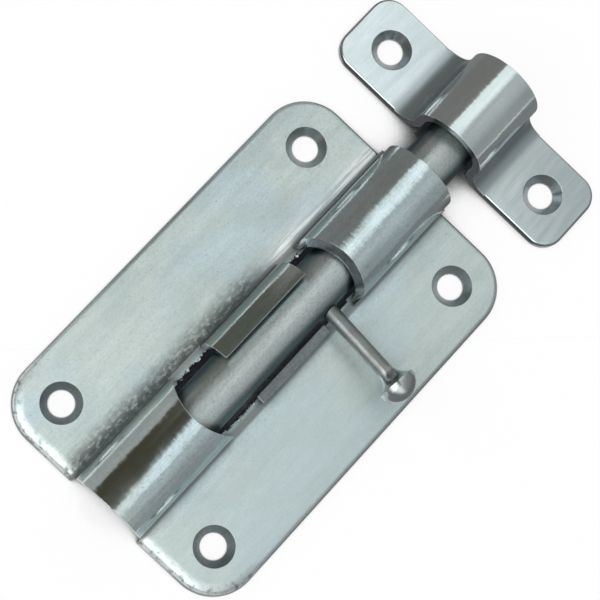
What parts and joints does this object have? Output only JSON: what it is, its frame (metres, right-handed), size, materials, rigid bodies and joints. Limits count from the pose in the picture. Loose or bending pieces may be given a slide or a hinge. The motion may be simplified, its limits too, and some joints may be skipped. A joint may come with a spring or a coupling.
{
  "type": "barrel bolt door latch",
  "caption": "Surface barrel bolt: a round bolt with a headed knob pin slides through a pressed steel back plate with omega loops into a matching screw-on keeper.",
  "frame": {"origin": "centre of the back plate's screw-hole pattern, on the back face that lies on the door", "axes": "+Y along the bolt towards the keeper, +X across the plate to the knob side, +Z out of the door"},
  "size_m": [0.0558, 0.1074, 0.0154],
  "materials": {
    "plated_sheet": "zinc plated",
    "plated_bar": "zinc plated"
  },
  "bodies": {
    "base": {"back_plate": "plated_sheet", "keeper": "plated_sheet"},
    "bolt": {"bolt_rod": "plated_bar"},
    "knob": {"knob_pin": "plated_bar"}
  },
  "joints": [
    {"name": "bolt_slide", "type": "slide", "parent": "base", "child": "bolt", "axis": [0, 1, 0], "range_m": [-0.0255, 0.0026]},
    {"name": "knob_turn", "type": "hinge", "parent": "bolt", "child": "knob", "pos_m": [0, 0.0126, 0.00575], "axis": [0, -1, 0], "range_deg": [-8, 88]}
  ]
}
